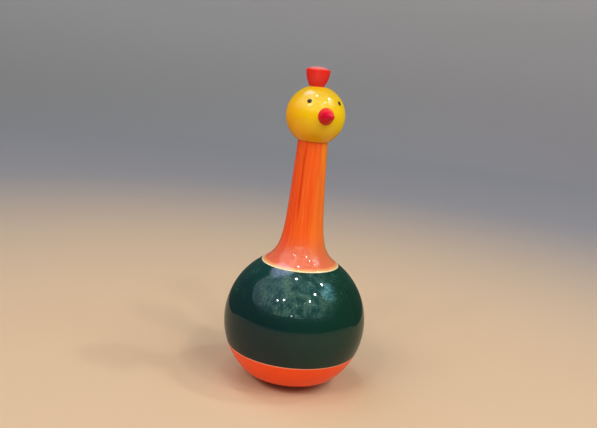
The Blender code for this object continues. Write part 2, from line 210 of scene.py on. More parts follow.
# %% Networks
class Network:
    """A node tree being filled, and the coordinates of its patterns."""

    def __init__(self, tree, place):
        self.tree = tree
        self.place = place

    def add(self, kind, inputs, **settings):
        """A new node. settings are its properties, inputs are values or sockets."""
        node = self.tree.nodes.new("ShaderNode" + kind)
        for key, value in settings.items():
            setattr(node, key, value)
        for key, value in inputs.items():
            if isinstance(value, bpy.types.NodeSocket):
                self.tree.links.new(value, node.inputs[key])
            else:
                node.inputs[key].default_value = value
        return node

    def math(self, operation, a, b=0.0, c=0.0):
        """One arithmetic step on numbers or sockets."""
        return self.add("Math", {0: a, 1: b, 2: c}, operation=operation).outputs[0]

    def times(self, a, b):
        """The product of a and b."""
        return self.math("MULTIPLY", a, b)

    def vector(self, operation, a, b):
        """One step on coordinates. The dot product gives a number."""
        outputs = self.add("VectorMath", {0: a, 1: b}, operation=operation).outputs
        return outputs["Value"] if operation == "DOT_PRODUCT" else outputs[0]

    def fade(self, value, start, end):
        """0 where the value is at start and 1 at end, with a soft S between."""
        limits = {"Value": value, "From Min": start, "From Max": end}
        return self.add("MapRange", limits, interpolation_type="SMOOTHSTEP").outputs[0]

    def blend(self, amount, first, second):
        """Colour mixed from first to second by amount."""
        return self.add("Mix", {0: amount, 6: first, 7: second}, data_type="RGBA").outputs[2]

    def stretched(self, factors, shift=(0, 0, 0), place=None):
        """Coordinates moved by shift and then multiplied axis by axis."""
        return self.vector("MULTIPLY", self.vector("ADD", place or self.place, shift), factors)

    def noise(self, factors, detail=3.0, roughness=0.5, shift=(0, 0, 0), place=None):
        """Smooth noise from 0 to 1, with this many waves per metre along each axis."""
        inputs = {"Vector": self.stretched(factors, shift, place), "Scale": 1.0}
        inputs.update({"Detail": detail, "Roughness": roughness})
        return self.add("TexNoise", inputs).outputs[0]

    def height(self):
        """The height above the table."""
        return self.add("SeparateXYZ", {0: self.place}).outputs[2]

    def seen_from(self, centre_z, radius, way):
        """1 on the side of a ball that way points to, 0 at its middle, -1 beyond."""
        from_centre = self.stretched((1 / radius,) * 3, (0.0, 0.0, -centre_z))
        return self.vector("DOT_PRODUCT", from_centre, way)


# %% [markdown]
# ## Finishes
# To the eye, lac is a coloured body under a polished surface that mirrors the room. The shader's coat is
# that surface. It is the same all over, so it is set on the shader itself. Colours are written as on a
# screen, 0 to 255, and turned into linear light.

# %% Finishes
def colour(r, g, b):
    """A display colour as linear light: c / 12.92 when dark, else ((c + 0.055) / 1.055)^2.4."""
    shown = np.array([r, g, b]) / 255
    linear = np.where(shown <= 0.04045, shown / 12.92, ((shown + 0.055) / 1.055) ** 2.4)
    return (*linear.tolist(), 1.0)


class Finish(Network):
    """A material whose body colour grows step by step, on Object coordinates."""

    def __init__(self, name, roughness, specular=0.5, coat=0.0, coat_roughness=0.03, metallic=0.0):
        self.material = bpy.data.materials.new(name)
        self.material.use_nodes = True
        super().__init__(self.material.node_tree, None)
        self.shader = self.tree.nodes["Principled BSDF"]
        values = {"Roughness": roughness, "Specular IOR Level": specular, "Metallic": metallic}
        values.update({"Coat Weight": coat, "Coat Roughness": coat_roughness})
        for socket, value in values.items():
            self.shader.inputs[socket].default_value = value
        self.place = self.add("TexCoord", {}).outputs["Object"]
        self.body = None

    def start(self, amount, first, second):
        """The first body colour, mixed from two display colours by amount."""
        self.body = self.blend(amount, colour(*first), colour(*second))

    def tinge(self, mask, strength, tint):
        """Draws the body towards a display colour, by mask times strength."""
        self.body = self.blend(self.times(mask, strength), self.body, colour(*tint))

    def bump(self, height, depth, socket="Normal"):
        """Raises the surface by a height from 0 to 1, in metres of depth."""
        bump = self.add("Bump", {"Height": height, "Distance": depth, "Strength": 1.0})
        self.tree.links.new(bump.outputs[0], self.shader.inputs[socket])

    def polish(self, factors, depth, place=None):
        """The shallow waves that the leaf leaves in the coat."""
        self.bump(self.noise(factors, detail=4.0, place=place), depth, "Coat Normal")

    def wear(self):
        """The body colour goes to the shader, and the material is done."""
        self.tree.links.new(self.body, self.shader.inputs["Base Color"])
        return self.material


lac_gloss = 0.65
lac_roughness = 0.5


def lac(name, coat=lac_gloss, coat_roughness=0.03):
    """A coloured body that hardly mirrors by itself, under a clear polished coat."""
    return Finish(name, lac_roughness, specular=0.0, coat=coat, coat_roughness=coat_roughness)


print("a middle grey is", round(colour(128, 128, 128)[0], 3), "in linear light")

# %% [markdown]
# ## Bare wood
# The hidden faces get a pale, even wood: fibres along the turning axis with a few darker vessels.

# %% Bare wood
def make_bare_wood():
    """Pale wood, with fibres drawn out along Z."""
    wood = Finish("bare wood", 0.62)
    fibres = wood.noise((1400, 1400, 60), detail=5.0)
    wood.start(wood.noise((220, 220, 12)), (216, 188, 148), (190, 154, 108))
    wood.tinge(wood.fade(fibres, 0.62, 0.78), 1.0, (140, 104, 66))
    wood.bump(fibres, 0.05 * MM)
    return wood.wear()


bare_wood = make_bare_wood()
print("bare wood:", len(bare_wood.node_tree.nodes), "nodes")

# %% [markdown]
# ## The green lac
# The ball is bottle green, nearly black where nothing is mirrored in it. Real lac is cloudy: patches lean
# to teal or leaf green, faint bands run round where the stick dwelt, and fine dust lies on top. Light is
# painted in too: one side is darkened towards navy as painted shade, the other drawn to leaf green as
# painted green light.

# %% Green lac
# Directions of the painted shade (navy) and the painted green light (leaf green) on the ball's sides.
navy_shade_way = (-0.94, -0.25, -0.22)
leaf_light_way = (0.80, -0.58, 0.10)
dust_start_z = ball_centre_z + 8.0 * MM
dust_full_z = ball_centre_z + 24.0 * MM


def make_green_lac():
    """Bottle green with clouds, painted shade on one side and painted green light on the other, turning bands
    and fine dust.
    """
    green = lac("green lac", coat_roughness=0.032)
    clouds = green.noise((34, 34, 26), detail=4.0, roughness=0.6)
    leaf = green.noise((21, 21, 17), shift=(0.3, 0.1, 0.2))
    green.start(green.fade(clouds, 0.36, 0.66), (14, 41, 33), (13, 46, 41))
    green.tinge(green.fade(leaf, 0.50, 0.70), 1.0, (12, 52, 32))
    green.tinge(green.noise((9, 9, 900), detail=4.0), 0.3, (12, 30, 26))
    # Painted shade: one side of the ball, mixed with the clouds, is darkened towards navy.
    towards_navy_shade = green.seen_from(ball_centre_z, ball_radius, navy_shade_way)
    towards_navy_shade = green.math("MULTIPLY_ADD", clouds, 0.5, towards_navy_shade)
    green.tinge(green.fade(towards_navy_shade, 0.55, 1.15), 0.8, (10, 28, 30))
    # Painted green light: the other side is drawn towards leaf green.
    towards_leaf_light = green.seen_from(ball_centre_z, ball_radius, leaf_light_way)
    green.tinge(green.fade(towards_leaf_light, 0.35, 0.95), 0.7, (10, 38, 24))
    specks = green.fade(green.noise((2100, 2100, 2100), detail=2.0), 0.56, 0.72)
    drifts = green.fade(green.noise((70, 70, 70), detail=2.0), 0.42, 0.66)
    dust = green.times(specks, drifts)
    dust = green.times(dust, green.fade(green.height(), dust_start_z, dust_full_z))
    green.tinge(dust, 0.6, (104, 142, 134))
    green.polish((60, 60, 700), 0.0025 * MM)
    return green.wear()


green_lac = make_green_lac()
print("green lac:", len(green_lac.node_tree.nodes), "nodes")

# %% [markdown]
# ## The green shell
# Most of the ball is one hollowed shell, faced flat on top and open below for the bowl's spigot.

# %% Green shell
shell_wall = 7.0 * MM
shell_roof = 16.0 * MM
shell_bore_radius = 7.25 * MM
seam_drop = 14.0 * MM
spigot_lip = 2.7 * MM
spigot_depth = 4.5 * MM
seam_hairline = 0.03 * MM
seam_easing = 0.12 * MM
shell_skin = 0.4 * MM
seam_radius = math.sqrt(ball_radius**2 - seam_drop**2)


def make_upper_body():
    """Ball from the faced top down to the seam, then mouth, cavity and bore."""
    top = shell_top_z - ball_centre_z
    seam = seam_hairline - seam_drop
    mouth = seam_radius - spigot_lip
    cavity_radius = ball_radius - shell_wall
    shoulder = spigot_depth - seam_drop
    roof = top - shell_roof
    outline = np.concatenate([
        arc(ball_radius, elevation(top, ball_radius), elevation(seam, ball_radius), step=1.0),
        line((mouth, seam), (mouth, shoulder)),
        arc(cavity_radius, elevation(shoulder, cavity_radius), elevation(roof, cavity_radius)),
        line((shell_bore_radius, roof), (shell_bore_radius, top)),
    ])
    outline = eased(outline, [(seam_radius, seam, seam_easing)])

    def is_bare(r, z):
        return np.hypot(r, z) < ball_radius - shell_skin

    seat = (0, 0, ball_centre_z)
    return turned("duck_upper_body", outline, green_lac, is_bare, steps=384, closed=True, seat=seat)


stand_in(make_upper_body(), "upper_body")

# %% [markdown]
# ## The orange lac
# One even orange with faint turning bands. The turner touched the spinning seam with a paler lac, whose
# lower edge wavers a little, so it is cut from the height plus some noise. Tables scuffed the foot.

# %% Orange lac
seam_z = ball_centre_z - seam_drop
seam_line_width = 0.62 * MM
seam_line_waver = 0.16 * MM
scuffed_height = 0.9 * MM


def make_orange_lac():
    """Orange with bands, a pale line at the seam and a scuffed foot."""
    orange = lac("orange lac")
    height = orange.height()
    orange.start(orange.noise((30, 30, 60)), (254, 78, 14), (250, 68, 12))
    orange.tinge(orange.noise((7, 7, 800), detail=4.0), 0.30, (248, 88, 24))
    waver = orange.noise((120, 120, 120), detail=2.0)
    line_foot = orange.math("MULTIPLY_ADD", waver, seam_line_waver, seam_z - seam_line_width)
    above = orange.math("SUBTRACT", height, line_foot)
    orange.tinge(orange.fade(above, -0.05 * MM, 0.10 * MM), 1.0, (238, 150, 112))
    scuffs = orange.fade(orange.noise((1500, 300, 300), detail=5.0), 0.45, 0.6)
    worn = orange.times(orange.fade(height, scuffed_height, 0.0), scuffs)
    orange.tinge(worn, 0.55, (214, 150, 104))
    orange.polish((60, 60, 700), 0.004 * MM)
    return orange.wear()


orange_lac = make_orange_lac()
print(f"seam at {seam_z / MM:.2f} mm above the table")

# %% [markdown]
# ## The orange bowl
# The bowl carries on the ball's curve. Below a soft arris it is turned to a flatter dome, so the duck
# stands calmly but still rocks. Its spigot enters the shell, with the recess for the slug inside.

# %% Orange bowl
dome_edge_radius = 27.0 * MM
dome_radius = 55.8 * MM
dome_easing = 1.6 * MM
foot_radius = 5.0 * MM
seam_chamfer = 0.45 * MM
chamfer_easing = 0.2 * MM
spigot_clearance = 0.25 * MM
spigot_shortfall = 0.3 * MM
recess_radius = 32.75 * MM
recess_flat_radius = 17.3 * MM
recess_rim_drop = 12.0 * MM
pilot_radius = 2.25 * MM
pilot_floor_z = 2.51 * MM
bowl_skin = 1.0 * MM


def bowl_inside(seam):
    """Outline from the axis out to the seam: pilot hole, recess and spigot."""
    recess_flat = -math.sqrt(recess_radius**2 - recess_flat_radius**2)
    recess_edge = math.sqrt(recess_radius**2 - recess_rim_drop**2)
    pilot_floor = pilot_floor_z - ball_centre_z
    spigot_radius = seam_radius - spigot_lip - spigot_clearance
    spigot_top = seam + spigot_depth - spigot_shortfall
    recess_angles = [elevation(z, recess_radius) for z in (recess_flat, -recess_rim_drop)]
    return np.concatenate([
        line((0, pilot_floor), (pilot_radius, pilot_floor), (pilot_radius, recess_flat)),
        arc(recess_radius, *recess_angles),
        line((recess_edge, spigot_top), (spigot_radius, spigot_top), (spigot_radius, seam)),
    ])


def make_lower_bowl():
    """The inside, the seam with its chamfer, ball side, dome and foot flat."""
    seam = -seam_drop
    edge_drop = math.sqrt(ball_radius**2 - dome_edge_radius**2)
    dome_centre = math.sqrt(dome_radius**2 - dome_edge_radius**2) - edge_drop
    dome_angles = [-math.degrees(math.acos(r / dome_radius)) for r in (dome_edge_radius, foot_radius)]
    below_seam = elevation(seam - seam_chamfer, ball_radius)
    dome = arc(dome_radius, *dome_angles, centre_z=dome_centre, step=0.6)
    outline = np.concatenate([
        bowl_inside(seam),
        line((seam_radius - seam_chamfer, seam)),
        arc(ball_radius, below_seam, elevation(-edge_drop, ball_radius), step=1.0),
        dome[1:],
        line((0, dome[-1, 1])),
    ])
    outline = eased(outline, [
        (seam_radius - seam_chamfer, seam, seam_easing),
        (ball_radius * math.cos(math.radians(below_seam)), seam - seam_chamfer, chamfer_easing),
        (dome_edge_radius, -edge_drop, dome_easing),
    ])

    def is_bare(r, z):
        inside_ball = np.hypot(r, z) < ball_radius - bowl_skin
        inside_dome = np.hypot(r, z - dome_centre) < dome_radius - bowl_skin
        return (z > seam) | (inside_ball & inside_dome)

    seat = (0, 0, ball_centre_z)
    return turned("duck_lower_bowl", outline, orange_lac, is_bare, steps=384, seat=seat)


stand_in(make_lower_bowl(), "lower_bowl")

# %% [markdown]
# ## The neck's shape
# A straight taper plus two exponential flares at its foot, a long one for the throat and a short one for
# the lip. A tenon at each end joins it.

# %% Neck outline
neck_taper = 0.043
neck_rim_band = 0.7 * MM
neck_rim_draw = 0.7 * MM
throat_flare = 2.2 * MM
throat_flare_length = 13.0 * MM
lip_flare_length = 5.4 * MM
foot_tenon_radius = 7.0 * MM
foot_tenon_length = 14.0 * MM
head_tenon_radius = 4.5 * MM
head_tenon_length = 9.0 * MM
tenon_chamfer = 0.6 * MM
neck_top_easing = 0.25 * MM
neck_rim_easing = 0.2 * MM

neck_foot_z = shell_top_z
neck_top_z = head_flat_z
neck_run = neck_top_z - seat_gap - neck_foot_z - neck_rim_band


def neck_radius(above):
    """Radius at a height above the rim band: taper + throat exp(-h / 13 mm) + lip exp(-h / 5.4 mm)."""
    taper = neck_top_radius + neck_taper * (neck_run - above)
    lip = neck_rim_radius - neck_rim_draw - neck_top_radius - neck_taper * neck_run - throat_flare
    throat = throat_flare * np.exp(-above / throat_flare_length)
    return taper + throat + lip * np.exp(-above / lip_flare_length)


def neck_outline():
    """Head tenon, stem, rim band, foot tenon. The rows lie closer together in the flare."""
    top, foot = neck_top_z, neck_foot_z
    above = (neck_run + seat_gap) * (1 - np.linspace(0.0, 1.0, 150) ** 0.6)
    side = np.stack([neck_radius(above), foot + neck_rim_band + above], axis=1)
    tenon_top = top + head_tenon_length
    tenon_end = foot - foot_tenon_length
    outline = np.concatenate([
        line((0, tenon_top), (head_tenon_radius - tenon_chamfer, tenon_top)),
        line((head_tenon_radius, tenon_top - tenon_chamfer), (head_tenon_radius, top)),
        side,
        line((neck_rim_radius, foot), (foot_tenon_radius, foot)),
        line((foot_tenon_radius, tenon_end + tenon_chamfer)),
        line((foot_tenon_radius - tenon_chamfer, tenon_end), (0, tenon_end)),
    ])
    return eased(outline, [
        (neck_top_radius, top, neck_top_easing),
        (neck_rim_radius - neck_rim_draw, foot + neck_rim_band, neck_rim_easing),
        (neck_rim_radius, foot, neck_rim_easing),
    ])


print(f"the neck's radius halfway up is {neck_radius(neck_run / 2) / MM:.2f} mm")

# %% [markdown]
# ## The neck's lac
# This lac is thin, so the fibres show as long streaks. Painted light makes one side redder and the other
# yellower. The streaks run along the neck and follow its flare, so their noise is drawn in (cos a, sin a, z):
# the level direction from the axis, and the height. Over the flare lies a pale pink painted sheen, near the
# rim the colour turns yellow, and the rim is a fine cream line.

# %% Neck lac
cream_height = 0.42 * MM
cream_softness = 0.05 * MM
yellow_edge_width = 1.5 * MM
# Heights above the rim where the flare's painted sheen is full and where it fades out.
flare_sheen_heights = (19.0 * MM, 3.0 * MM)
yellow_strip_z = 112.0 * MM
painted_light_way = (0.927, -0.375, 0.0)
streak_way = (-0.705, -0.710, 0.0)
streak_low_z = (88.0 * MM, 104.0 * MM)
streak_high_z = (134.0 * MM, 126.0 * MM)
tenon_margin = 0.01 * MM


def streaked(neck, along, around, height):
    """Two oranges by side as painted light, mixed with broad noise, then streaks and fibres, pale and dark.
    It gives back the fibres.
    """
    broad = neck.noise((2.2, 2.2, 20), detail=2.0, place=along)
    streaks = neck.noise((5.5, 5.5, 24), detail=5.0, roughness=0.6, place=along)
    fibres = neck.noise((22, 22, 40), detail=4.0, place=along)
    # Painted light: yellower on the side the fixed direction points to, redder beyond, with broad noise mixed
    # in.
    side = neck.vector("DOT_PRODUCT", around, painted_light_way)
    side = neck.math("MULTIPLY_ADD", neck.math("SUBTRACT", broad, 0.5), 2.4, side)
    neck.start(neck.fade(side, 0.1, 1.3), (232, 88, 28), (234, 118, 38))
    # A yellower strip near the top, only on the yellower painted-light side.
    strip = neck.times(neck.fade(height, yellow_strip_z, neck_top_z), neck.fade(side, 0.55, 1.05))
    neck.tinge(strip, 0.8, (238, 134, 18))
    # Painted warm light: the far side is drawn redder.
    neck.tinge(neck.fade(side, -0.1, -1.0), 0.75, (238, 64, 28))
    neck.tinge(neck.fade(streaks, 0.53, 0.68), 0.7, (246, 112, 46))
    dark = neck.times(neck.fade(streaks, 0.45, 0.30), neck.fade(side, 0.4, -0.3))
    neck.tinge(dark, 0.7, (210, 50, 14))
    near = neck.math("MULTIPLY_ADD", streaks, 0.014, neck.vector("DOT_PRODUCT", around, streak_way))
    run = neck.times(neck.fade(height, *streak_low_z), neck.fade(height, *streak_high_z))
    neck.tinge(neck.times(run, neck.fade(near, 1.003, 1.0075)), 0.75, (206, 40, 16))
    neck.tinge(neck.fade(fibres, 0.55, 0.72), 0.28, (252, 138, 66))
    neck.tinge(neck.fade(fibres, 0.44, 0.28), 0.25, (216, 60, 16))
    return fibres


def make_neck_lac():
    """Streaks, then a painted sheen over the flare, a yellow band near the rim and the cream line on it."""
    neck = lac("streaked orange lac", coat_roughness=0.04)
    height = neck.height()
    level = neck.stretched((1, 1, 0))
    around = neck.add("VectorMath", {0: level}, operation="NORMALIZE").outputs[0]
    lift = neck.add("CombineXYZ", {2: height}).outputs[0]
    along = neck.vector("ADD", around, lift)
    fibres = streaked(neck, along, around, height)
    above_rim = neck.math("SUBTRACT", height, neck_foot_z)
    # Painted sheen: the flare is drawn towards a pale pink, strongest near the rim.
    neck.tinge(neck.fade(above_rim, *flare_sheen_heights), 0.7, (192, 96, 72))
    yellow = neck.fade(above_rim, cream_height + yellow_edge_width, cream_height)
    neck.tinge(yellow, 0.85, (222, 160, 96))
    cream = neck.fade(above_rim, cream_height + cream_softness, cream_height - cream_softness)
    neck.tinge(cream, 1.0, (228, 206, 166))
    neck.bump(fibres, 0.02 * MM)
    neck.polish((5, 5, 90), 0.004 * MM, place=along)
    return neck.wear()


def make_neck():
    """The outline turned. Both tenons are raw."""
    def is_bare(r, z):
        return (z > neck_top_z - tenon_margin) | (z < neck_foot_z + tenon_margin)

    return turned("duck_neck", neck_outline(), make_neck_lac(), is_bare, steps=320)


stand_in(make_neck(), "neck")

# %% [markdown]
# ## Which way the head's pieces point
# The comb stands upright but a little off the head's axis. The beak points forward and slightly up, and
# the eyes look out to both sides.

# %% Ways and seats on the head
comb_base_radius = 3.9 * MM
comb_offset = 0.95 * MM
comb_offset_heading = -110.8
comb_tenon = (2.5 * MM, 5.5 * MM)
beak_base_radius = 4.38 * MM
beak_raise = 3.0
beak_tenon = (2.2 * MM, 6.0 * MM)
eye_heading = 37.0
eye_raise = 29.5
eye_radius = 1.2 * MM
eye_depth = 4.0 * MM

head_centre = np.array([0.0, 0.0, head_centre_z])


def heading(azimuth, raised):
    """Unit vector, in degrees: azimuth 0 is the duck's front, -Y, and grows towards its left, +X."""
    a, e = math.radians(azimuth), math.radians(raised)
    return np.array([math.cos(e) * math.sin(a), -math.cos(e) * math.cos(a), math.sin(e)])


comb_foot = heading(comb_offset_heading, 0.0) * comb_offset
beak_way = heading(0.0, beak_raise)
eye_ways = {"right": heading(-eye_heading, eye_raise), "left": heading(eye_heading, eye_raise)}
comb_seat = math.sqrt(head_radius**2 - (comb_base_radius + comb_offset) ** 2)
beak_seat = math.sqrt(head_radius**2 - beak_base_radius**2)
print(f"comb sits {comb_seat / MM:.2f} mm and beak {beak_seat / MM:.2f} mm from the head's centre")

# %% [markdown]
# ## The yellow lac
# A warm yellow with painted shade: it deepens to amber on one side, told by a dot product with a fixed
# direction, and towards the neck, and it darkens at the top.

# %% Yellow lac
# Where the painted shade lies: amber on one side and towards the neck, darker at the top.
amber_shade_way = (-0.85, 0.30, -0.43)
amber_shade_foot_start_z = head_centre_z - 0.2 * head_radius
top_shade_start_z = head_centre_z + 0.2 * head_radius
top_shade_full_z = head_centre_z + 0.85 * head_radius


def make_yellow_lac():
    """Yellow with painted shade below, on one side and at the top, and faint clouds and bands."""
    yellow = lac("yellow lac")
    height = yellow.height()
    clouds = yellow.noise((55, 55, 70))
    # Painted shade: amber on one side, with the clouds mixed in.
    amber_shade = yellow.seen_from(head_centre_z, head_radius, amber_shade_way)
    amber_shade = yellow.math("MULTIPLY_ADD", yellow.math("SUBTRACT", clouds, 0.5), 0.8, amber_shade)
    yellow.start(yellow.fade(clouds, 0.35, 0.7), (228, 181, 8), (226, 173, 8))
    yellow.tinge(yellow.fade(amber_shade, -0.2, 1.0), 0.8, (238, 146, 10))
    # Painted shade: deeper amber towards the neck, and darker at the top.
    yellow.tinge(yellow.fade(height, amber_shade_foot_start_z, head_flat_z), 0.6, (238, 156, 10))
    yellow.tinge(yellow.fade(height, top_shade_start_z, top_shade_full_z), 0.9, (194, 142, 16))
    yellow.tinge(yellow.noise((12, 12, 1300)), 0.22, (246, 206, 40))
    yellow.polish((90, 90, 500), 0.001 * MM)
    return yellow.wear()


yellow_lac = make_yellow_lac()
print("yellow lac:", len(yellow_lac.node_tree.nodes), "nodes")

# %% [markdown]
# ## Drilling
# The head is drilled with cutters made by the same sweep: a spot face and a hole for the comb and the
# beak, and a small hole for each eye. The result is kept as the head's own mesh.

# %% Drilling
socket_clearance = 0.25 * MM
socket_spare = 1.0 * MM
cutter_overrun = 3.0 * MM
drilled_crease_angle = math.radians(9)


def stepped_cutter(name, seat, spot_radius, bore_radius, depth, way, foot=(0, 0, 0)):
    """A cutter that clears all beyond the spot face and bores down from it. foot moves it aside."""
    far = head_radius + cutter_overrun
    outline = line((0, far), (spot_radius, far), (spot_radius, seat), (bore_radius, seat))
    outline = np.concatenate([outline, line((bore_radius, seat - depth), (0, seat - depth))])

    def is_bare(r, z):
        return r >= 0

    start = head_centre + np.array(foot)
    return turned(name, outline, yellow_lac, is_bare, steps=96, seat=start, way=way)


def take_out(piece, cutters):
    """Cuts each cutter's shape out of the piece, and keeps the result as the piece's own mesh."""
    for cutter in cutters:
        boolean = piece.modifiers.new(cutter.name, "BOOLEAN")
        boolean.operation = "DIFFERENCE"
        boolean.solver = "EXACT"
        boolean.object = cutter
    graph = bpy.context.evaluated_depsgraph_get()
    mesh = bpy.data.meshes.new_from_object(piece.evaluated_get(graph))
    piece.modifiers.clear()
    piece.data = mesh
    mesh.shade_smooth()
    mesh.set_sharp_from_angle(angle=drilled_crease_angle)
    for cutter in cutters:
        bpy.data.objects.remove(cutter)


# %% [markdown]
# ## The head
# A ball, sat on the neck by a small flat, with a socket for the neck's tenon.

# %% Head
eye_fit = 0.03 * MM
eye_bore_share = 0.99
head_skin = 0.3 * MM


def peg_cutter(name, seat, base_radius, tenon, way, foot=(0, 0, 0)):
    """A cutter a little wider and deeper than a peg's base and its tenon, (radius, length)."""
    spot, bore, depth = base_radius + cutter_overrun, tenon[0] + socket_clearance, tenon[1] + socket_spare
    return stepped_cutter(name, seat, spot, bore, depth, way, foot)


def head_cutters():
    """Cutters for comb, beak and eyes."""
    comb_spot = comb_base_radius + comb_offset
    cutters = [
        peg_cutter("comb seat", comb_seat, comb_spot, comb_tenon, (0, 0, 1), comb_foot),
        peg_cutter("beak seat", beak_seat, beak_base_radius, beak_tenon, beak_way),
    ]
    hole = eye_radius + eye_fit
    start = head_radius + cutter_overrun / 2
    depth = cutter_overrun / 2 + eye_depth
    for side, way in eye_ways.items():
        cutters.append(stepped_cutter(side + " eye hole", start, hole, hole * eye_bore_share, depth, way))
    return cutters


def make_head():
    """Ball with a flat and socket below, then drilled."""
    flat = head_flat_z - head_centre_z
    socket = head_tenon_radius + socket_clearance
    socket_top = flat + head_tenon_length + socket_spare
    outline = np.concatenate([
        arc(head_radius, 90.0, elevation(flat, head_radius), step=0.9),
        line((socket, flat), (socket, socket_top), (0, socket_top)),
    ])
    outline = eased(outline, [(neck_top_radius, flat, neck_top_easing)])

    def is_bare(r, z):
        return np.hypot(r, z) < head_radius - head_skin

    head = turned("duck_head", outline, yellow_lac, is_bare, steps=320, seat=head_centre)
    take_out(head, head_cutters())
    return head


stand_in(make_head(), "head")

# %% [markdown]
# ## Pegs
# Comb, beak and eyes are small turned pegs. Each is swept about its own axis and then stood in its hole by
# turning the points, so the object itself stays unturned.

# %% Pegs
def peg_foot(base_radius, radius, length):
    """Outline below a peg's base: seat, tenon and its chamfered end."""
    seat, end = -seat_gap, -length
    shoulder = line((base_radius, seat), (radius, seat))
    tip = line((radius, end + tenon_chamfer), (radius - tenon_chamfer, end), (0, end))
    return np.concatenate([shoulder, tip])


def peg_is_bare(r, z):
    """A peg is raw from its seat down."""
    return z < -0.99 * seat_gap


def clouded(peg, factors, body, deep, pale):
    """A peg's lac: the body colour with deeper and paler clouds."""
    clouds = peg.noise(factors)
    peg.start(peg.fade(clouds, 0.45, 0.25), body, deep)
    peg.tinge(peg.fade(clouds, 0.55, 0.75), 1.0, pale)
    peg.polish((150, 150, 700), 0.004 * MM)


comb_peg = peg_foot(comb_base_radius, *comb_tenon)
print("the comb's peg has", len(comb_peg), "rows below its base")

# %% [markdown]
# ## The comb
# The comb flares from a narrow base to a wide rim, under a low crown with a pale painted highlight.

# %% Comb
comb_rim_radius = 6.4 * MM
comb_side = 8.7 * MM
comb_rim_rounding = 0.4 * MM
comb_crown_rise = 1.55 * MM
comb_crown_tip_radius = 2.8 * MM
comb_crown_tip_drop = 0.25 * MM
comb_crown_easing = 1.2 * MM

comb_foot_z = head_centre_z + comb_seat + seat_gap
# Heights where the crown's painted highlight begins and where it is full.
crown_highlight_start_z = comb_foot_z + comb_side - 0.1 * MM
crown_highlight_full_z = comb_foot_z + comb_side + 0.5 * MM


def make_red_lac():
    """Red, with a pale painted highlight on the crown."""
    red = lac("red lac", coat=0.5, coat_roughness=0.04)
    clouded(red, (160, 160, 40), (223, 42, 32), (206, 32, 24), (230, 58, 48))
    # Painted highlight: the crown is drawn towards a pale pink.
    red.tinge(red.fade(red.height(), crown_highlight_start_z, crown_highlight_full_z), 0.9, (190, 116, 110))
    return red.wear()


def make_comb():
    """Crown, rounded rim, side with r growing as 1 - (1 - t)^2, and the peg's foot."""
    rim_z = comb_side - comb_rim_rounding
    t = np.linspace(1.0, 0.0, 40)
    side_r = comb_base_radius + (comb_rim_radius - comb_base_radius) * (1 - (1 - t) ** 2)
    crown_top = comb_side + comb_crown_rise
    tip = (comb_crown_tip_radius, crown_top - comb_crown_tip_drop)
    rounding = arc(comb_rim_rounding, 62.0, 4.0, rim_z, step=8.0)
    rounding[:, 0] += comb_rim_radius - comb_rim_rounding
    outline = np.concatenate([
        line((0, crown_top), tip),
        rounding,
        np.stack([side_r, rim_z * t], axis=1),
        comb_peg,
    ])
    outline = eased(outline, [(*tip, comb_crown_easing)])
    seat = comb_foot + np.array([0.0, 0.0, comb_foot_z])
    return turned("duck_comb", outline, make_red_lac(), peg_is_bare, steps=160, seat=seat)


stand_in(make_comb(), "comb")

# %% [markdown]
# ## The beak
# A plain cone with a rounded tip.

# %% Beak
beak_length = 8.8 * MM
beak_tip_radius = 1.4 * MM


def make_crimson_lac():
    """Crimson, polished a little less than the rest."""
    crimson = lac("crimson lac", coat=0.5, coat_roughness=0.14)
    clouded(crimson, (90, 90, 90), (206, 3, 42), (190, 3, 30), (218, 8, 58))
    return crimson.wear()


def make_beak():
    """Ball tip, a straight side tangent to it, and the peg's foot."""
    tip_centre = beak_length - beak_tip_radius
    slope = math.degrees(math.atan2(beak_base_radius - beak_tip_radius, tip_centre))
    outline = np.concatenate([
        arc(beak_tip_radius, 90.0, slope, tip_centre, step=6.0),
        line((beak_base_radius, 0)),
        peg_foot(beak_base_radius, *beak_tenon),
    ])
    seat = head_centre + beak_way * (beak_seat + seat_gap)
    finish = make_crimson_lac()
    return turned("duck_beak", outline, finish, peg_is_bare, steps=160, seat=seat, way=beak_way)


stand_in(make_beak(), "beak")

# %% [markdown]
# ## The eyes
# Two black pegs, slightly domed, in a thin, warm lac.

# %% Eyes
eye_dome = 0.3 * MM


def make_black_lac(side):
    """Near-black with warm clouds."""
    black = lac(side + " eye lac", coat=0.35, coat_roughness=0.1)
    clouded(black, (400, 400, 400), (46, 20, 20), (30, 14, 14), (66, 32, 30))
    return black.wear()


def make_eye(side, way):
    """Peg with a parabolic dome: z = rise (1 - (r / R)^2)."""
    t = np.linspace(0.0, 1.0, 16)
    dome = np.stack([eye_radius * t, eye_dome * (1 - t**2)], axis=1)
    outline = np.concatenate([dome, line((eye_radius, -eye_depth), (0, -eye_depth))])
    seat = head_centre + way * head_radius
    return turned(side + "_duck_eye", outline, make_black_lac(side), None, steps=64, seat=seat, way=way)


for side, way in eye_ways.items():
    stand_in(make_eye(side, way), side + "_eye")

# %% [markdown]
# ## The hidden ballast
# Slug, washer and screw are sealed in the ball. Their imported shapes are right, so they only get their
# metals: rough iron, and bright plated steel.

# %% Ballast metals
def make_cast_iron():
    """Dark iron with coarse grain and a little rust."""
    iron = Finish("cast iron", 0.62, metallic=0.85)
    rust = iron.fade(iron.noise((160, 160, 160), detail=4.0), 0.58, 0.74)
    iron.start(rust, (82, 82, 84), (104, 70, 50))
    iron.bump(iron.noise((900, 900, 900), detail=6.0, roughness=0.65), 0.1 * MM)
    return iron.wear()


def make_plated_steel():
    """Bright plating with fine rings."""
    steel = Finish("plated steel", 0.3, metallic=1.0)
    rings = steel.noise((300, 300, 3000), detail=4.0)
    steel.start(rings, (196, 196, 190), (170, 170, 168))
    steel.bump(rings, 0.02 * MM)
    return steel.wear()


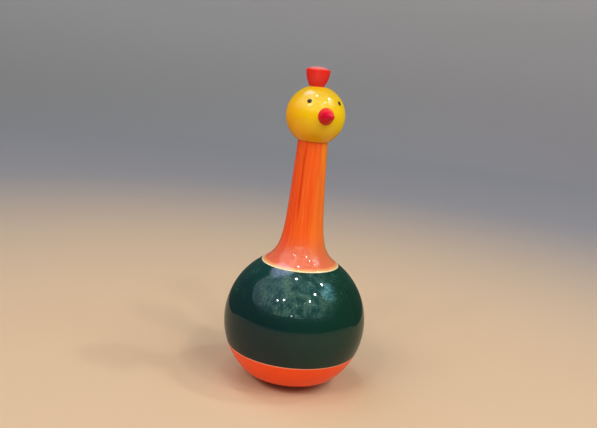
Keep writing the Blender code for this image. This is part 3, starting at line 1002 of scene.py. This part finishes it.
metals = {"weight": make_cast_iron(), "washer": make_plated_steel()}
metals["screw"] = metals["washer"]
for node, metal in metals.items():
    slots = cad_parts["ballast_" + node].data.materials
    slots.clear()
    slots.append(metal)
    print(node, "is", metal.name)

# %% [markdown]
# ## The floor
# A plain pale floor curves up into a grey backdrop all round, so that no edge shows from any side. It is
# one more outline for the lathe, with its faces turned inwards.

# %% Floor
floor_reach = 1.5
wall_height = 0.56
wall_curve = 0.34
warm_reach = 0.12
grey_reach = 0.75
flat_rows = ((0.3, 0), (0.06, 0), (0, 0))


def floor_paper():
    """Warm near the origin, grey far off, with painted light making it lighter up the wall."""
    paper = Finish("floor paper", 0.8, specular=0.0)
    # Painted light: the grey gets lighter up the wall, where less lamp light reaches it.
    wall_light_rise = paper.fade(paper.height(), 0.0, wall_height)
    grey = paper.blend(wall_light_rise, colour(142, 131, 132), colour(184, 171, 173))
    away = paper.add("VectorMath", {0: paper.place}, operation="LENGTH").outputs["Value"]
    far = paper.fade(away, warm_reach, grey_reach)
    paper.body = paper.blend(far, colour(197, 162, 131), grey)
    return paper.wear()


def make_floor():
    """Outline of a shallow dish: wall, quarter curve, flat floor."""
    curve = arc(wall_curve, 0.0, -90.0, centre_z=wall_curve, step=5.0)
    curve[:, 0] += floor_reach - wall_curve
    rows = [line((floor_reach, wall_height)), curve, line(*flat_rows)]
    points, faces, _ = swept(np.concatenate(rows), 96)
    floor = surface("floor", points, [face[::-1] for face in faces], floor_paper())
    floor.data.shade_smooth()
    return floor


print("floor:", len(make_floor().data.polygons), "faces")

# %% [markdown]
# ## The camera
# The camera looks down on the duck's front from its right. Its place was worked out from the two turned
# rings and the outlines of ball and head. The model stands upright, so the duck's lean as it rocks is a
# small roll of the camera. The axes are written as (right, away, up) from where the viewer stands.

# %% Camera
view_azimuth = -20.8
camera_distance = 373.98 * MM
camera_above_ball = 135.85 * MM
focal_length = 42.211
sensor_width = 36.0
near_clip = 0.01
image_right = (0.99444, 0.03022, 0.10087)
towards_viewer = (0.00952, -0.97982, 0.19967)


def make_camera():
    """Axes from the viewing direction, then one matrix for turn and place."""
    azimuth = math.radians(view_azimuth)
    right = Vector((math.cos(azimuth), math.sin(azimuth), 0.0))
    away = Vector((-math.sin(azimuth), math.cos(azimuth), 0.0))
    up = Vector((0, 0, 1))
    viewer = Matrix((right, away, up)).transposed()
    x_axis = (viewer @ Vector(image_right)).normalized()
    z_axis = (viewer @ Vector(towards_viewer)).normalized()
    turn = Matrix((x_axis, z_axis.cross(x_axis), z_axis)).transposed().to_4x4()
    spot = -camera_distance * away + (ball_centre_z + camera_above_ball) * up
    camera = placed("camera", bpy.data.cameras.new("camera"))
    camera.data.lens = focal_length
    camera.data.sensor_width = sensor_width
    camera.data.clip_start = near_clip
    camera.matrix_world = Matrix.Translation(spot) @ turn
    return camera


camera = make_camera()
scene.camera = camera
scene.view_settings.view_transform = "Standard"
print("camera at", [round(value / MM) for value in camera.matrix_world.translation], "mm")

# %% [markdown]
# ## The ceiling lamps
# Small round lamps give the sharp glints, and most of the light on upward faces. Each hangs where a
# direction from the ball's centre meets the ceiling. Its power is brightness x pi x area, with a
# brightness of 1 for a surface that renders white.

# %% Ceiling lamps
ball_centre = Vector((0.0, 0.0, ball_centre_z))
lamp_diameter = 0.086
lamp_brightness = 216.0
ceiling_height = 1.45
overhead_lamp_brightness = 108.0
overhead_lamp_way = (-0.081, -0.085, 0.993)
ceiling_lamp_ways = {
    "left lamp": (0.484, -0.205, 0.851),
    "front left lamp": (0.285, -0.521, 0.805),
    "front right lamp": (-0.523, -0.493, 0.695),
    "right lamp": (-0.656, -0.396, 0.643),
    "front lamp": (0.119, -0.691, 0.713),
}
low_lamp_way = (-0.40, -0.83, 0.38)
low_lamp_distance = 1.1
low_lamp_diameter = 0.05
low_lamp_brightness = 20.0


def hang(name, light, way, distance, mirrored):
    """A light at this distance from the ball's centre, facing it, unseen by the camera."""
    rig = placed(name, light)
    rig.visible_camera = False
    rig.visible_glossy = mirrored
    turn = way.to_track_quat("Z", "Y").to_matrix().to_4x4()
    rig.matrix_world = Matrix.Translation(ball_centre + way * distance) @ turn


def lamp(name, way, distance, diameter, brightness):
    """A round area light that faces the ball and shows in the gloss."""
    light = bpy.data.lights.new(name, "AREA")
    light.shape = "DISK"
    light.size = diameter
    light.energy = brightness * math.pi * math.pi * diameter**2 / 4
    hang(name, light, Vector(way).normalized(), distance, True)


def ceiling_lamp(name, way, brightness):
    """A lamp where this way from the ball meets the ceiling."""
    lamp(name, way, ceiling_height / way[2], lamp_diameter, brightness)


ceiling_lamp("overhead lamp", overhead_lamp_way, overhead_lamp_brightness)
for name, way in ceiling_lamp_ways.items():
    ceiling_lamp(name, way, lamp_brightness)
lamp("low lamp", low_lamp_way, low_lamp_distance, low_lamp_diameter, low_lamp_brightness)
print("lamps:", len(bpy.data.lights))

# %% [markdown]
# ## The front panels
# Two soft panels light the upright sides, one on each side of the camera. The gloss doesn't mirror them.

# %% Front panels
panel_distance = 0.95
panel_width = 0.9
panel_height = 0.30
panel_brightness = 3.4
panel_raise = 41.0
panel_spread = 48.0


def front_panel(name, azimuth):
    """A soft rectangular panel at this azimuth, facing the ball."""
    light = bpy.data.lights.new(name, "AREA")
    light.shape = "RECTANGLE"
    light.size = panel_width
    light.size_y = panel_height
    light.energy = panel_brightness * math.pi * panel_width * panel_height
    hang(name, light, Vector(heading(azimuth, panel_raise)), panel_distance, False)
    print(f"{name}: {light.energy:.2f} W")


front_panel("right front panel", view_azimuth - panel_spread)
front_panel("left front panel", view_azimuth + panel_spread)

# %% [markdown]
# ## The soft light
# Rough surfaces see an even, weak sky with a broad glow. Mirrored rays see more: mottled glows overhead
# and to the right, a bluish window behind and a small teal patch on the left.

# %% Glows
glow_way = (-0.16, -0.50, 0.85)
window_way = (-0.21, 0.36, 0.91)
teal_way = (0.60, -0.30, 0.74)
side_glow_way = (-0.60, 0.36, 0.72)
open_side = (-0.529, -0.833, 0.160)


def glow(sky, way, full_angle, end_angle):
    """1 within full_angle degrees of the middle, 0 beyond end_angle, by the angle's cosine."""
    cosine = sky.vector("DOT_PRODUCT", sky.place, tuple(Vector(way).normalized()))
    return sky.fade(cosine, math.cos(math.radians(end_angle)), math.cos(math.radians(full_angle)))


def spread(sky, noise, low, high, darkest, brightest):
    """Noise stretched from low..high to darkest..brightest."""
    limits = {"Value": noise, "From Min": low, "From Max": high}
    limits.update({"To Min": darkest, "To Max": brightest})
    return sky.add("MapRange", limits).outputs[0]


def tinted(sky, strength, tint):
    """A tint scaled by a strength."""
    return sky.add("VectorMath", {0: tint, "Scale": strength}, operation="SCALE").outputs[0]


def lit(sky, light, strength, brightness, tint):
    """The light with a tint on top, scaled by strength times brightness."""
    return sky.vector("ADD", light, tinted(sky, sky.times(strength, brightness), tint))


print(f"window {elevation(Vector(window_way).normalized()[2], 1.0):.0f} degrees above the level")

# %% [markdown]
# ## The sky
# A Light Path node tells the two kinds of ray apart, in the world only, so the toy's own finishes look the
# same from every side.

# %% Sky
room_brightness = 0.15
glow_brightness = 2.3
window_brightness = 6.5
teal_brightness = 4.0
fill_brightness = 0.12
rough_glow = 0.25
bluish = (0.52, 1.06, 1.20, 1.0)
leafy = (0.64, 1.08, 0.78, 1.0)
window_tint = (0.76, 0.84, 1.34)
teal_tint = (0.35, 1.0, 1.25)
side_brightness = 1.15
side_tint = (0.70, 0.90, 1.20)


def mirrored_sky(sky):
    """Room + glow x cloth, leaning from blue to leaf green, + window and side glow x folds + teal x cloth."""
    patches = sky.noise((4.4, 4.4, 4.4))
    folds = sky.noise((22, 22, 9), detail=8.0, roughness=0.75)
    fine = spread(sky, folds, 0.40, 0.64, 0.4, 1.6)
    cloth = sky.times(spread(sky, patches, 0.41, 0.61, 0.2, 1.5), fine)
    overhead = sky.times(glow(sky, glow_way, 12.0, 70.0), cloth)
    soft = sky.math("MULTIPLY_ADD", overhead, glow_brightness, room_brightness)
    light = tinted(sky, soft, sky.blend(sky.fade(patches, 0.40, 0.62), bluish, leafy))
    window = sky.times(glow(sky, window_way, 3.0, 19.0), fine)
    light = lit(sky, light, window, window_brightness, window_tint)
    below_roof = sky.fade(sky.vector("DOT_PRODUCT", sky.place, open_side), 0.0, 0.06)
    side_glow = sky.times(sky.times(glow(sky, side_glow_way, 5.0, 60.0), below_roof), fine)
    light = lit(sky, light, side_glow, side_brightness, side_tint)
    teal = sky.times(glow(sky, teal_way, 2.0, 18.0), cloth)
    return lit(sky, light, teal, teal_brightness, teal_tint)


def make_sky():
    """Rough surfaces see an even fill with a glow, all other rays the mirrored sky."""
    world = bpy.data.worlds.new("studio")
    world.use_nodes = True
    sky = Network(world.node_tree, None)
    sky.place = sky.add("TexCoord", {}).outputs["Generated"]
    even = sky.math("MULTIPLY_ADD", glow(sky, glow_way, 10.0, 58.0), rough_glow, fill_brightness)
    plain = sky.add("CombineXYZ", {0: even, 1: even, 2: even}).outputs[0]
    is_rough = sky.add("LightPath", {}).outputs["Is Diffuse Ray"]
    seen = sky.blend(is_rough, mirrored_sky(sky), plain)
    sky.tree.links.new(seen, sky.tree.nodes["Background"].inputs["Color"])
    return world


scene.world = make_sky()
print("sky:", len(scene.world.node_tree.nodes), "nodes")

# %% [markdown]
# ## The dark card
# A strip of a cylinder round the toy gives it its calm dark bands. It is far off in front, beyond the
# camera, and near at the sides and behind, where it hides most of the floor. Only mirrored rays meet it.

# %% Dark card
card_reach = 0.75
card_back_reach = 0.22
card_foot = 0.004
card_height = 0.235
card_side_height = 0.25
card_spread = 180.0
card_rise_start = 62.0
card_rise_end = 107.0


def make_card():
    """Two rows of points joined by quads. The top rises with the square of the way round."""
    aside = np.linspace(-card_spread, card_spread, 41)
    turn = np.radians(aside + view_azimuth - 90.0)
    rise = np.clip((np.abs(aside) - card_rise_start) / (card_rise_end - card_rise_start), 0.0, 1.0)
    reach = card_reach + (card_back_reach - card_reach) * rise
    level = reach[:, None] * np.stack([np.cos(turn), np.sin(turn)], axis=1)
    foot = np.full(len(turn), card_foot)
    top = card_height + (card_side_height - card_height) * rise**2
    points = np.concatenate([np.column_stack([level, height]) for height in (foot, top)])
    near = np.arange(len(turn) - 1)
    far = near + len(turn)
    faces = np.stack([near, far, far + 1, near + 1], axis=1).tolist()
    card_paper = Finish("dark card", 0.9, specular=0.0)
    card_paper.shader.inputs["Base Color"].default_value = colour(84, 84, 90)
    card = surface("dark card", points, faces, card_paper.material)
    for ray in ("camera", "diffuse", "shadow", "transmission"):
        setattr(card, "visible_" + ray, False)
    return card


print("dark card:", len(make_card().data.polygons), "faces")
